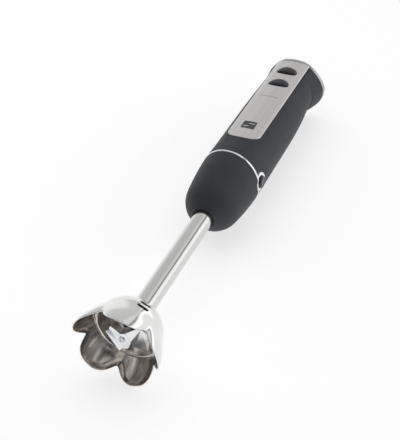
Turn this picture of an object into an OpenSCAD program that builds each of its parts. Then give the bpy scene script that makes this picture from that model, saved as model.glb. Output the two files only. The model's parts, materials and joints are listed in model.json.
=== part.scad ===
// Immersion blender with a detachable blending arm, lying on its back.
// X runs along the drive axis from the bell to the end cap, Z points out of the
// face plate, and the origin is the middle of the footprint on the table.

/* [Body] */
// Station of the end cap's face, measured from the datum just inside the bell's mouth
body_end = 366; // [362:0.5:370]
// Half width of the handle at its trim ring
handle_half_width = 26.5; // [25:0.1:28]
// Wall thickness of the casings
wall = 2.2; // [1.8:0.1:2.6]
// Sides of each lofted outline
loft_sides = 64; // [48:8:80]

/* [Blending arm] */
// Outer radius of the shaft tube
tube_radius = 8.5; // [8:0.1:9]
// Wall thickness of the shaft tube
tube_wall = 1; // [0.8:0.1:1.5]
// Radius of the drive shaft
shaft_radius = 2.5; // [2:0.1:3]
// Outer radius of the bell's dome
dome_radius = 27.5; // [27:0.1:28.5]
// Sheet thickness of the bell
bell_sheet = 0.9; // [0.8:0.1:1.2]
// Number of lobes around the skirt
lobes = 5; // [4:1:6]
// Turn of the first lobe from the top towards -Y, degrees
lobe_turn = 13.7; // [0:0.1:36]
// Radius of the lobe tips
lobe_radius = 36; // [34:0.1:37]
// How far the skirt bulges past a straight line
skirt_bulge = 1.5; // [0:0.1:2]
// How far the lobes reach past the datum
lobe_reach = 3.4; // [2:0.1:5]
// Depth of the notches between lobes
notch_depth = 14.7; // [10:0.1:16]
// Radius swept by the blade
blade_radius = 22; // [20:0.5:23]

/* [Face plate] */
// Half width of the face plate
plate_half_width = 15.05; // [13:0.05:15.1]
// Thickness of the face plate
plate_sheet = 1.2; // [0.8:0.1:1.5]
// Crown radius across the face plate
crown_radius = 48; // [40:1:60]

/* [Buttons] */
// Half width of the D-shaped speed buttons
button_half_width = 9.1; // [8:0.05:9.2]
// How far a speed button reaches from its widest line towards the end cap
button_round = 7.4; // [7:0.1:8]
// How far a speed button reaches from its widest line towards the bell
button_flat = 3; // [2.5:0.1:3.5]
// Radius of the side release buttons
release_radius = 5.4; // [5:0.1:5.6]
// Half width of the oval release bezels along the handle
bezel_radius = 7.8; // [7.4:0.1:8]
// Half height of the oval release bezels
bezel_height = 8.7; // [8:0.1:8.8]

/* [Motor] */
// Outer radius of the motor can
motor_radius = 17.6; // [17:0.1:18]
// Radius of the motor shaft
motor_shaft_radius = 1.6; // [1.5:0.05:2]

/* [Power] */
// Radius of one battery cell
cell_radius = 9.1; // [9:0.05:9.2]
// Length of one battery cell
cell_length = 65; // [64:0.5:66]
// Radius of the charging jack's bore
jack_radius = 1.8; // [1.5:0.05:2.5]

/* [Hidden] */
$fn = 64;

// gap between pieces of different bodies, and radial running fit of the shafts
body_gap = 0.3;
running_fit = 0.05;

// axial stations from the datum
blade_x = 9.5;
dome_x = 16.3;
skirt_x = 18.6;
dome_top_x = dome_x + sqrt(pow(dome_radius, 2) - pow(tube_radius + 0.1, 2));
nose_x = 153;
ring_x = 208.6;
ring_half = 1.15;
nose_end_x = ring_x - ring_half - body_gap;
casing_x = ring_x + ring_half + 0.1;
bezel_x = 213;
socket_end_x = 222.4;
mount_x = 224.5;
motor_x = 229;
motor_length = 48;
plate_x = 237.9;
plate_end_x = 360.6;
low_speed_x = 321;
turbo_x = 341.6;
end_rim_x = 361;
cell_x = 286;

// lofted outline of the handle: station, half width, top, bottom, narrowing of the upper half
HANDLE = [[200, 26.2, 29.2, -29.2, 0], [208, handle_half_width, 29.4, -29.5, 0],
    [237, 26.3, 28.2, -29.3, 0], [265, 26.2, 27.6, -29, 0], [290, 26.1, 26.8, -28.4, 0],
    [315, 25.4, 25.9, -26.6, 0], [328, 24.6, 25.4, -24.2, 0], [336, 24, 25.2, -22.4, 0],
    [342.5, 23.6, 25.1, -21.6, 0.01], [344.5, 24.3, 25.1, -24, 0.03], [348, 25.2, 25.1, -25.6, 0.06],
    [353, 26.3, 25.1, -27.4, 0.1], [358.5, 27.5, 25.1, -28.8, 0.13], [364, 28.6, 25.1, -29.8, 0.14],
    [370, 29, 25.1, -30, 0.14]];
// lofted outline of the arm's nose
NOSE = [[nose_x, 9.6, 9.6, -9.6, 0], [154, 11.1, 11.1, -11.1, 0], [155.5, 13.5, 13.5, -13.5, 0],
    [158, 16.7, 16.8, -16.8, 0], [162, 20.2, 20.4, -20.4, 0], [169, 23.2, 23.7, -23.7, 0],
    [180, 24.7, 26.2, -26.2, 0], [191, 25.6, 28.1, -28.1, 0], [203, 26.3, 29.2, -29.2, 0],
    [210, 26.5, 29.5, -29.5, 0]];

// straight lookup of a column, softened by averaging around the station
function column(table, c) = [for (row = table) [row[0], row[c]]];
function level(table, c, x) =
    let (t = column(table, c))
    (lookup(x - 2, t) + 2 * lookup(x, t) + lookup(x + 2, t)) / 4;

// height of the face plate's crown along the handle
function crown_z(x) = x < plate_x
    ? 26 + 3.6 * pow((plate_x - x) / (plate_x - ring_x), 1.3)
    : 26 - 2 * (x - plate_x) / (plate_end_x - plate_x);
plate_tilt = atan(2 / (plate_end_x - plate_x));
function crown_drop(y) = crown_radius - sqrt(pow(crown_radius, 2) - y * y);

// one closed outline of the handle or nose at station x, pulled in by inset
function outline(table, x, inset) =
    let (a = level(table, 1, x) - inset, top = level(table, 2, x) - inset,
         low = level(table, 3, x) + inset, mid = (top + low) / 2, half = (top - low) / 2)
    [for (i = [0:loft_sides - 1]) let (t = 360 * i / loft_sides,
        y = a * cos(t) * (1 - level(table, 4, x) * max(0, sin(t))))
        [x, y, min(mid + half * sin(t), crown_z(x) - inset - crown_drop(y))]];

// faces of a tube of rings, closed at both ends
function loft_faces(rings, n) = concat([[for (i = [0:n - 1]) i]],
    [for (j = [0:rings - 2], i = [0:n - 1]) let (k = (i + 1) % n)
        [j * n + i, (j + 1) * n + i, (j + 1) * n + k, j * n + k]],
    [[for (i = [n - 1:-1:0]) (rings - 1) * n + i]]);

// solid through the outlines of a table at the stations xs
module loft(table, xs, inset) polyhedron(
    [for (x = xs) each outline(table, x, inset)], loft_faces(len(xs), loft_sides));

// stations from a to b in n equal steps
function steps(a, b, n) = [for (i = [0:n]) a + (b - a) * i / n];

// share of the way from a lobe's middle to its notch at angle a, eased in the notch
notch_ease = 0.12;
function notch_share(a) =
    let (pitch = 180 / lobes, off = abs(a - lobe_turn - 2 * pitch * round((a - lobe_turn) / (2 * pitch))),
         d = 1 - off / pitch)
    1 - sqrt(d * d + notch_ease * notch_ease) + (sqrt(1 + notch_ease * notch_ease) - 1) * d;
function rim_x(a) = notch_depth * pow(notch_share(a), 3) - lobe_reach;
function rim_r(a) = lobe_radius - (lobe_radius - dome_radius - 0.4) * pow(notch_share(a), 2.8);
// radius at angle a and station x of a wall whose dome has radius r: the skirt is the
// straight line from the rim that touches the dome, leaning by an angle from the axis
function bell_r(a, x, r) = let (dx = rim_x(a) - dome_x, q = rim_r(a) - dome_radius + r,
    lean = atan2(dx, q) + acos(r / norm([q, dx])), start = dome_x + r * sin(lean),
    s = (start - x) / (start - rim_x(a)))
    x > start ? sqrt(pow(r, 2) - pow(x - dome_x, 2))
        : (r - (x - dome_x) * sin(lean)) / cos(lean) + skirt_bulge * 6.75 * s * s * (1 - s);
rim = [for (a = [0:1:359]) [-sin(a), cos(a)] * rim_r(a)];
axis_y = -(max([for (p = rim) p[0]]) + min([for (p = rim) p[0]])) / 2;
axis_z = -min([for (p = rim) p[1]]);
// everything is drawn about the drive axis, then set down on the table
module set_down() translate([(lobe_reach - body_end) / 2, axis_y, axis_z]) children();

// cylinder along the drive axis from x0 to x1
module rod(x0, x1, r) translate([x0, 0, 0]) rotate([0, 90, 0]) cylinder(h = x1 - x0, r = r);
module pipe(x0, x1, r, bore) difference() {
    rod(x0, x1, r);
    rod(x0 - 1, x1 + 1, bore);
}
// turned piece from [radius, x] points
module turned(points) rotate([0, 90, 0]) rotate_extrude() polygon(points);
// cylinder across the handle at a station, from y0 to y1
module cross_rod(x, y0, y1, r) translate([x, y1, 0]) rotate([90, 0, 0]) cylinder(h = y1 - y0, r = r);
module block(x0, x1, y, z0, z1) translate([x0, -y, z0]) cube([x1 - x0, 2 * y, z1 - z0]);
// copies at equal angles round the drive axis
module around(count, turn = 0) for (i = [0:count - 1]) rotate([turn + 360 * i / count, 0, 0]) children();

// helical spring along +Z
module coil(radius, wire, length, turns) {
    per_turn = 14;
    n = 8;
    rings = [for (i = [0:turns * per_turn]) let (t = 360 * i / per_turn, f = i / (turns * per_turn))
        each [for (j = [0:n - 1]) let (s = 360 * j / n, r = radius + wire * cos(s))
            [r * cos(t), r * sin(t), wire + f * (length - 2 * wire) + wire * sin(s)]]];
    polyhedron(rings, loft_faces(turns * per_turn + 1, n));
}

// ---------------------------------------------------------------- handle
plate_corner = 9;
plate_bow = 3.8;
// outline of the face plate: its edge towards the bell is bowed, with round corners
function plate_points(grow) = let (h = plate_half_width + grow, c = plate_corner + grow,
    bow = (pow(plate_half_width, 2) + pow(plate_bow, 2)) / (2 * plate_bow), r = bow + grow,
    centre = plate_x - plate_bow + bow, x = centre - sqrt(pow(r - c, 2) - pow(h - c, 2)),
    turn = atan2(h - c, centre - x))
    concat([[plate_end_x + grow, -h], [plate_end_x + grow, h]],
        [for (i = [0:8]) let (t = 90 + (90 - turn) * i / 8) [x + c * cos(t), h - c + c * sin(t)]],
        [for (i = [1:11]) let (t = 180 - turn + turn * i / 6) [centre + r * cos(t), r * sin(t)]],
        [for (i = [8:-1:0]) let (t = 90 + (90 - turn) * i / 8) [x + c * cos(t), c - h - c * sin(t)]]);
module plate_outline(grow) polygon(plate_points(grow));
// space under the crowned surface of the face plate, lowered by drop
module under_crown(drop) translate([plate_x, 0, crown_z(plate_x)]) rotate([0, plate_tilt, 0])
    translate([-5, 0, -crown_radius]) rotate([0, 90, 0])
        cylinder(h = 140, r = crown_radius - drop, $fn = 160);
// oval through the handle where a release bezel sits, from y0 to y1
module bezel_oval(y0, y1, grow) translate([bezel_x, y1, 0]) rotate([90, 0, 0])
    scale([bezel_radius + grow, bezel_height + grow, 1]) cylinder(h = y1 - y0, r = 1);
handle_stations = concat([casing_x, 212, 220, 228, plate_x - 0.5], steps(245, 325, 8),
    steps(330, end_rim_x - 0.1, 10));

module rear_casing() color([0.24, 0.24, 0.26]) difference() {
    loft(HANDLE, handle_stations, 0);
    loft(HANDLE, concat([casing_x - 1], handle_stations, [end_rim_x + 1]), wall);
    linear_extrude(60) plate_outline(0.15);
    translate([plate_end_x - 1, -plate_half_width - 0.15, 0]) cube([4, 2 * plate_half_width + 0.3, 60]);
    bezel_oval(-40, 40, 0.1);
}

// outline of a speed button whose widest line is at station x
module button_shape(x, grow) polygon([for (t = [0:9:359]) let (c = cos(t), s = sin(t))
    [x + (s > 0 ? (button_round + grow) * s : -(button_flat + grow) * pow(-s, 0.85)),
        (button_half_width + grow) * sign(c) * pow(abs(c), 0.92)]]);
module button_bore(x, grow) translate([0, 0, 10]) linear_extrude(30) button_shape(x, grow);
module face_plate() color([0.72, 0.71, 0.7]) difference() {
    intersection() {
        linear_extrude(60) plate_outline(0);
        under_crown(0);
    }
    under_crown(plate_sheet);
    button_bore(low_speed_x, 0.3);
    button_bore(turbo_x, 0.3);
}

carrier_floor = [17.9, 19.4];
damper_radius = 23.2;
stem_radius = 2;
module front_carrier() color([0.15, 0.15, 0.16]) difference() {
    intersection() {
        block(plate_x + 2, plate_end_x - 3, 13.6, 15.6, 40);
        under_crown(plate_sheet + 0.05);
    }
    rod(200, motor_x + 24, damper_radius + 0.15);
    block(low_speed_x - 11, turbo_x + 12, 11.6, carrier_floor[1], 50);
    block(low_speed_x - 11, turbo_x + 12, 11.6, 10, carrier_floor[0]);
    block(plate_x + 4, low_speed_x - 13, 11.6, 10, 21);
    for (x = [low_speed_x, turbo_x]) translate([x + 1, 0, 0]) cylinder(h = 40, r = stem_radius + 0.1);
}
module button_gaskets() color([0.1, 0.1, 0.1]) for (x = [low_speed_x, turbo_x])
    translate([0, 0, carrier_floor[1] + 0.05]) linear_extrude(1.4) difference() {
        button_shape(x, 1.1);
        button_shape(x, 0.5);
    }

cap_z = 21.2;
cap_top = 26.4;
spring_top = 23.1;
module speed_button(x) color([0.13, 0.13, 0.16]) difference() {
    union() {
        intersection() {
            translate([0, 0, cap_z]) linear_extrude(10) button_shape(x, 0);
            translate([x + 2, 0, cap_top - 20]) sphere(20, $fn = 120);
        }
        translate([x + 1, 0, 17.3]) cylinder(h = 6.5, r = stem_radius);
    }
    translate([x + 1, 0, cap_z - 5]) difference() {
        cylinder(h = spring_top + 5 - cap_z, r = 4.2);
        cylinder(h = 10, r = stem_radius);
    }
}
module low_speed_button() speed_button(low_speed_x);
module turbo_button() speed_button(turbo_x);
case_z = [12, 15.6];
module plunger(x) color([0.8, 0.2, 0.15]) translate([x + 1, 0, 14.2]) cylinder(h = 3.1, r = 1.4);
module low_speed_plunger() plunger(low_speed_x);
module turbo_plunger() plunger(turbo_x);
module button_spring(x) color([0.75, 0.75, 0.77]) translate([x + 1, 0, carrier_floor[1] + 0.05])
    coil(3.1, 0.25, spring_top - carrier_floor[1] - 0.1, 4);
module low_speed_spring() button_spring(low_speed_x);
module turbo_spring() button_spring(turbo_x);
module switch_cases() color([0.1, 0.1, 0.1]) for (x = [low_speed_x, turbo_x]) difference() {
    block(x - 3, x + 5, 4, case_z[0], case_z[1]);
    translate([x + 1, 0, case_z[0] + 0.4]) cylinder(h = 10, r = 1.6);
}
module control_board() color([0.1, 0.35, 0.2])
    block(low_speed_x - 14, turbo_x + 12, 11, case_z[0] - 1.6, case_z[0]);
module board_components() {
    board_z = case_z[0] - 1.6;
    color([0.7, 0.7, 0.72]) block(low_speed_x - 12, low_speed_x - 2, 8, board_z - 3.5, board_z);
    color([0.12, 0.12, 0.12]) for (side = [-1, 1]) translate([turbo_x, side * 5.5, board_z - 4])
        cylinder(h = 4, r = 3);
}

// ---------------------------------------------------------------- power
cell_y = cell_radius + 0.3;
cell_z = -4.5;
module at_cells() for (side = [-1, 1]) translate([0, side * cell_y, cell_z]) children();
module battery_cells() color([0.2, 0.35, 0.6]) at_cells() rod(cell_x, cell_x + cell_length, cell_radius);
module cell_links() color([0.8, 0.8, 0.82]) for (x = [cell_x - 0.4, cell_x + cell_length])
    translate([x, -cell_y - 3, cell_z - 3]) cube([0.4, 2 * cell_y + 6, 6]);
module battery_holder() color([0.3, 0.3, 0.32]) difference() {
    block(cell_x + 6, cell_x + cell_length - 8, 12, cell_z + 4, cell_z + 10.6);
    at_cells() rod(cell_x, cell_x + cell_length, cell_radius + 0.05);
}

function outline_2d(x, inset) = [for (p = outline(HANDLE, x, inset)) [p[1], p[2]]];
module plug(x0, x1, inset) translate([x0, 0, 0]) rotate([90, 0, 90])
    linear_extrude(x1 - x0) polygon(outline_2d(x1, inset));
module end_trim_ring() color([0.75, 0.78, 0.77]) difference() {
    loft(HANDLE, [end_rim_x, 362, 363, 364, 364.8], 0);
    plug(end_rim_x - 1, body_end + 1, 2.6);
}
// copies at the two screw posts behind the end cap
module at_posts(x) for (side = [-1, 1]) translate([x, side * 17.5, 4]) rotate([0, 90, 0]) children();
post_x = 352;
module end_cap() color([0.2, 0.2, 0.22]) difference() {
    union() {
        plug(end_rim_x + 1, body_end, 2.7);
        plug(end_rim_x - 3, end_rim_x + 1, 5);
        at_posts(post_x) cylinder(h = end_rim_x - 2 - post_x, r = 2.6);
    }
    rod(0, 400, 5);
    at_posts(post_x - 1) cylinder(h = 6.5, r = 1.25);
}
module charging_socket() color([0.1, 0.1, 0.1]) difference() {
    rod(body_end - 14.5, body_end - 0.5, 4.9);
    rod(body_end - 12.5, 400, jack_radius);
}
module screw_shape(length, shank, head) {
    cylinder(h = length, r = shank);
    difference() {
        translate([0, 0, length]) cylinder(h = 1.4, r = head);
        translate([-head, -0.4, length + 0.8]) cube([2 * head, 0.8, 2]);
    }
}
module casing_screws() color([0.6, 0.6, 0.62]) at_posts(post_x + 5) mirror([0, 0, 1])
    screw_shape(5.1, 1.2, 2.2);

// ---------------------------------------------------------------- release
module trim_ring() color([0.85, 0.85, 0.87]) difference() {
    intersection() {
        loft(HANDLE, [204.6, 206, 207.4, 209.8, 212, 216, 220, 222], -0.5);
        union() {
            rod(ring_x - ring_half, ring_x + ring_half, 40);
            bezel_oval(-40, 40, 0);
        }
    }
    loft(HANDLE, [203, 206, 209.8, 212, 216, 220, 224], 1.6);
    cross_rod(bezel_x, -40, 40, release_radius + 0.2);
}
flange_y = [21.9, 23];
// pieces of the release on the +Y side are drawn, and mirrored for the other side
module on_side(side) mirror([0, side > 0 ? 0 : 1, 0]) children();
module release_button(side) color([0.08, 0.08, 0.09]) on_side(side) {
    intersection() {
        cross_rod(bezel_x, flange_y[0], 35, release_radius);
        translate([bezel_x, 29.4 - 16, 0]) sphere(16, $fn = 120);
    }
    cross_rod(bezel_x, flange_y[0], flange_y[1], 6.6);
    cross_rod(bezel_x, hook_y[1], flange_y[0] + 0.1, 3);
}
module release_button_left() release_button(1);
module release_button_right() release_button(-1);
module release_spring(side) color([0.75, 0.75, 0.77]) on_side(side)
    translate([bezel_x, hook_y[1] + 0.05, 0]) rotate([-90, 0, 0]) coil(4.4, 0.2, 1.5, 2);
module release_spring_left() release_spring(1);
module release_spring_right() release_spring(-1);

// sprung hook that reaches past the trim ring and catches the arm's collar from inside
hook_y = [19.4, 20.3];
hook_half = 2.5;
barb_x = [201.1, 203.1];
module latch_hook(side) color([0.7, 0.7, 0.72]) on_side(side) {
    cross_rod(bezel_x, hook_y[0], hook_y[1], 5.2);
    translate([barb_x[0], hook_y[0], -hook_half])
        cube([217 - barb_x[0], hook_y[1] - hook_y[0], 2 * hook_half]);
    translate([barb_x[0], hook_y[1] - 0.1, -hook_half]) cube([barb_x[1] - barb_x[0], 1.7, 2 * hook_half]);
}
module latch_hook_left() latch_hook(1);
module latch_hook_right() latch_hook(-1);

spigot_radius = 17.5;
spigot_end_x = 219;
module arm_socket() color([0.22, 0.22, 0.24]) difference() {
    union() {
        pipe(casing_x + 0.3, socket_end_x, 19.3, spigot_radius + body_gap);
        pipe(socket_end_x, mount_x - 0.1, 22.4, 16.1);
    }
    block(casing_x, 219, 30, -hook_half - 1.2, hook_half + 1.2);
}
module coupling_seal() color([0.1, 0.1, 0.1]) turned([[9.6, 219.6], [10.4, 219.6], [12.5, 221.2],
    [spigot_radius, 221.2], [spigot_radius, 222.3], [12.2, 222.3]]);

// ---------------------------------------------------------------- motor
boss_radius = 5.6;
motor_end_x = motor_x + motor_length;
screw_circle = 11.5;
module motor_mount() color([0.65, 0.65, 0.67]) difference() {
    rod(mount_x, mount_x + 2, 22.6);
    rod(0, 300, 9.8);
    around(2, 90) translate([0, 0, screw_circle + 2]) rod(0, 300, 1.6);
}
module damper_ring() color([0.12, 0.12, 0.12]) pipe(motor_x + 14, motor_x + 22, damper_radius, motor_radius + 0.05);
module motor_screws() color([0.6, 0.6, 0.62]) around(2, 90) translate([0, 0, screw_circle + 2])
    translate([mount_x + 8, 0, 0]) rotate([0, -90, 0]) screw_shape(8.1, 1.5, 2.4);
module motor_can() color([0.7, 0.7, 0.72]) difference() {
    union() {
        rod(motor_x, motor_end_x, motor_radius);
        rod(motor_x - 2.3, motor_x + 1, boss_radius + 1);
    }
    rod(motor_x + 1.4, motor_end_x + 1, motor_radius - 1.2);
    rod(motor_x - 3, motor_x + 2, 4.05);
    around(2, 90) translate([0, 0, screw_circle + 2]) rod(0, motor_x + 4, 1.55);
}
module motor_magnets() color([0.25, 0.25, 0.27]) difference() {
    pipe(motor_x + 9, motor_end_x - 9, motor_radius - 1.25, 12);
    block(0, 400, 3, -40, 40);
}
module motor_end_bell() color([0.12, 0.12, 0.13]) difference() {
    union() {
        rod(motor_end_x + 0.05, motor_end_x + 3, motor_radius);
        rod(motor_end_x - 3, motor_end_x + 0.1, motor_radius - 1.25);
        rod(motor_end_x + 3, motor_end_x + 6.5, 6);
    }
    rod(motor_end_x - 4, motor_end_x + 1.5, 14.5);
    rod(motor_end_x, motor_end_x + 5, 4.05);
}
module motor_bearings() color([0.75, 0.6, 0.35]) for (x = [motor_x - 2.2, motor_end_x + 1.6])
    pipe(x, x + 3.2, 4, motor_shaft_radius + running_fit);
module motor_brushes() color([0.3, 0.25, 0.22]) for (side = [-1, 1])
    translate([motor_end_x - 5.5, side > 0 ? 4 : -14.4, -1.5]) cube([3.6, 10.4, 3]);

// rotor
module motor_shaft() color([0.8, 0.8, 0.82]) rod(216.5, motor_end_x + 4.6, motor_shaft_radius);
module armature_core() color([0.55, 0.55, 0.57]) difference() {
    rod(motor_x + 11, motor_end_x - 13, 11.4);
    rod(0, 400, motor_shaft_radius);
    around(6) translate([0, 0, 9]) rod(0, 400, 2.2);
}
module armature_windings() color([0.75, 0.4, 0.2]) {
    around(6) translate([0, 0, 9]) rod(motor_x + 10.5, motor_end_x - 12.5, 2.15);
    pipe(motor_x + 6.5, motor_x + 10.5, 10.8, 3);
    pipe(motor_end_x - 12.5, motor_end_x - 8.5, 10.8, 3);
}
module commutator() color([0.8, 0.5, 0.3]) difference() {
    pipe(motor_end_x - 8.3, motor_end_x - 1, 3.6, motor_shaft_radius);
    around(5) translate([0, -0.15, 3]) cube([400, 0.3, 2]);
}

// dog coupling between motor and arm
coupling_x = 211;
module dogs(x0, x1, r0, r1, width, turn) around(4, turn)
    translate([x0, -width / 2, r0]) cube([x1 - x0, width, r1 - r0]);
module drive_coupling() color([0.85, 0.85, 0.82]) {
    difference() {
        rod(coupling_x, 224, 9);
        rod(coupling_x - 1, 220, 6.6);
        rod(0, 400, motor_shaft_radius);
    }
    intersection() {
        dogs(coupling_x + 1, 220, 4.6, 7, 2.4, 45);
        rod(0, 400, 6.8);
    }
}
module driven_coupling() color([0.2, 0.2, 0.22]) difference() {
    union() {
        rod(202, 216, 3.9);
        rod(202, 206, 6.2);
        intersection() {
            dogs(204, 216, 3, 6.6, 3, 0);
            rod(0, 400, 6.2);
        }
    }
    rod(201, 210, shaft_radius);
}

// ---------------------------------------------------------------- arm
nose_stations = concat([nose_x, 153.4, 154, 154.8, 156, 157.5, 159.5, 162, 165, 169, 174],
    steps(180, nose_end_x, 5));
cavity_stations = concat([158, 159, 160.5, 162.5, 165, 169, 174], steps(180, nose_end_x + 1, 5));
module arm_housing() color([0.22, 0.22, 0.24]) difference() {
    loft(NOSE, nose_stations, 0);
    loft(NOSE, cavity_stations, wall);
    rod(0, 400, tube_radius + 0.05);
    bezel_oval(-40, 40, body_gap);
}
// the collar's lip catches the barbs, its spigot fits the handle's socket
lip_radius = 21.2;
module arm_collar() color([0.25, 0.25, 0.27]) difference() {
    union() {
        rod(197, 200, 23.2);
        pipe(199.9, 204.9, 23.2, lip_radius);
        rod(199, spigot_end_x, spigot_radius);
        rod(188, 198, 7);
    }
    rod(201.5, 400, spigot_radius - 2.4);
    rod(0, 400, 4.55);
    pipe(barb_x[0] - 0.4, barb_x[1] + 0.3, lip_radius + 1.3, spigot_radius + 0.5);
}
module tube_clamp() color([0.6, 0.6, 0.62]) pipe(160.6, 168, 13, tube_radius + 0.02);
tube_end_x = 30;
module shaft_tube() color([0.85, 0.85, 0.86]) pipe(tube_end_x, 171, tube_radius, tube_radius - tube_wall);

bell_sides = 80;
bell_rows = 12;
// one ring of the bell's outer (r) or inner wall, a share s of the way up to top
function bell_ring(s, r, top) = [for (i = [0:bell_sides - 1])
    let (a = lobe_turn + 360 * i / bell_sides, x = rim_x(a) + (top - rim_x(a)) * s, q = bell_r(a, x, r))
    [x, -q * sin(a), q * cos(a)]];
inner_top_x = dome_x + sqrt(pow(dome_radius - bell_sheet, 2) - pow(tube_radius + 0.1, 2));
function bell_points() = concat(
    [for (j = [0:bell_rows]) each bell_ring(sin(90 * j / bell_rows), dome_radius, dome_top_x)],
    [for (j = [bell_rows:-1:0]) each bell_ring(sin(90 * j / bell_rows), dome_radius - bell_sheet,
        inner_top_x)]);
// the rings form a closed loop: up the outside and back down the inside
function hoop_faces(rings, n) = [for (j = [0:rings - 1], i = [0:n - 1]) let (k = (i + 1) % n,
    m = (j + 1) % rings) each [[j * n + i, j * n + k, m * n + k], [j * n + i, m * n + k, m * n + i]]];
vent_angle = 28.3;
vent_tilt = 71;
module vent_slot() linear_extrude(60) {
    square([4.6, 5], center = true);
    for (side = [-1, 1]) translate([0, side * 2.5]) circle(2.3);
}
module bell_guard() color([0.9, 0.9, 0.9]) difference() {
    polyhedron(bell_points(), hoop_faces(2 * bell_rows + 2, bell_sides));
    for (i = [0:1]) translate([dome_x, 0, 0]) rotate([vent_angle + 180 * i, 0, 0])
        rotate([0, 90 - vent_tilt, 0]) vent_slot();
}
module guard_ring() color([0.9, 0.9, 0.9]) rotate([0, 90, 0]) translate([0, 0, skirt_x]) rotate_extrude()
    union() {
        translate([dome_radius - bell_sheet - 0.75, 0]) circle(0.6);
        translate([dome_radius - bell_sheet - 0.75, -0.4]) square([0.85, 0.8]);
    }
module bearing_housing() color([0.7, 0.7, 0.72]) difference() {
    union() {
        rod(22, 29.9, tube_radius);
        rod(29.5, 46, tube_radius - tube_wall - 0.02);
    }
    rod(20, 26.1, 5.6);
    rod(26, 50, 4.4);
}
module lower_bushing() color([0.75, 0.55, 0.3]) pipe(26.2, 42, 4.38, shaft_radius + running_fit);
module upper_bushing() color([0.75, 0.55, 0.3]) pipe(188.5, 200.5, 4.53, shaft_radius + running_fit);
module shaft_seal() color([0.1, 0.1, 0.1]) pipe(22.2, 26, 5.58, shaft_radius + running_fit);

// ---------------------------------------------------------------- blade group
module drive_shaft() color([0.8, 0.8, 0.82]) difference() {
    rod(blade_x - 1.4, 210, shaft_radius);
    translate([blade_x - 2, -1.1, -5]) cube([1.1, 2.2, 10]);
}
module shaft_clip() color([0.5, 0.5, 0.52]) pipe(186.5, 187.7, 4.4, shaft_radius);
module blade_collar() color([0.8, 0.8, 0.82]) pipe(blade_x + 0.7, 18, 4.2, shaft_radius);

// sheet through corner points, thickened by a step; corners are [x, y, z] from the hub
blade_sheet = 1.2;
blade_scale = blade_radius / 22;
module sheet(corners, thick) {
    n = len(corners);
    facing = cross(corners[1] - corners[0], corners[2] - corners[0]) * thick;
    ordered = [for (i = [0:n - 1]) corners[facing > 0 ? i : n - 1 - i]];
    face = [for (p = ordered) [p[0], p[1] * blade_scale, p[2] * blade_scale]];
    polyhedron(concat(face, [for (p = face) p + thick]), concat(
        [for (i = [1:n - 2]) [0, i, i + 1]], [for (i = [1:n - 2]) [n, n + i + 1, n + i]],
        [for (i = [0:n - 1]) each let (m = (i + 1) % n) [[i, n + m, m], [i, n + i, n + m]]]));
}
// flat centre with a prong, a wing that leans into the dome with its flap folded
// further in, and on the other side a flap folded out towards the mouth
module blade() color([0.8, 0.8, 0.8]) translate([blade_x, 0, 0]) difference() {
    union() {
        translate([-blade_sheet / 2, 0, 0]) rotate([90, 0, 90]) linear_extrude(blade_sheet)
            polygon(blade_scale * [[0, -9.3], [9.1, 6.5], [9.4, 9], [8, 11.4], [2, 7], [1, 5.6],
                [-4, 7.4], [-7.2, -0.8], [-4.3, -7.6], [-1, -9.2]]);
        sheet([[-0.5, 0.3, -8.4], [-0.5, 8.2, 5.6], [-3.2, 11.1, 7.7], [-3.2, 2.3, -9.8]], [0.9, -0.8, 0.4]);
        sheet([[-0.5, -3.4, 7.1], [-0.5, -6.6, -0.6], [2.4, -16.6, 13.9], [2.1, -14.9, 15]],
            [1.1, 0, 0]);
        sheet([[-0.4, -6.7, -0.9], [2.6, -8, -8.4], [5.4, -17.2, -11.6], [5.8, -20.6, 3.6],
            [2.2, -16.2, 13.7]], [1.05, 0.1, 0.05]);
    }
    rod(-20, 20, shaft_radius);
}

set_down() rear_casing();
set_down() face_plate();
set_down() front_carrier();
set_down() button_gaskets();
set_down() low_speed_button();
set_down() low_speed_plunger();
set_down() low_speed_spring();
set_down() turbo_button();
set_down() turbo_plunger();
set_down() turbo_spring();
set_down() switch_cases();
set_down() control_board();
set_down() board_components();
set_down() battery_cells();
set_down() cell_links();
set_down() battery_holder();
set_down() end_trim_ring();
set_down() end_cap();
set_down() charging_socket();
set_down() casing_screws();
set_down() trim_ring();
set_down() release_button_left();
set_down() release_button_right();
set_down() release_spring_left();
set_down() release_spring_right();
set_down() latch_hook_left();
set_down() latch_hook_right();
set_down() arm_socket();
set_down() coupling_seal();
set_down() motor_mount();
set_down() damper_ring();
set_down() motor_screws();
set_down() motor_can();
set_down() motor_magnets();
set_down() motor_end_bell();
set_down() motor_bearings();
set_down() motor_brushes();
set_down() motor_shaft();
set_down() armature_core();
set_down() armature_windings();
set_down() commutator();
set_down() drive_coupling();
set_down() arm_housing();
set_down() arm_collar();
set_down() tube_clamp();
set_down() shaft_tube();
set_down() bell_guard();
set_down() guard_ring();
set_down() bearing_housing();
set_down() lower_bushing();
set_down() upper_bushing();
set_down() shaft_seal();
set_down() drive_shaft();
set_down() driven_coupling();
set_down() shaft_clip();
set_down() blade();
set_down() blade_collar();
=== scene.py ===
"""Looks of the immersion blender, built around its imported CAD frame."""

import json
import math

import bmesh
import bpy
from mathutils import Matrix, Vector


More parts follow.
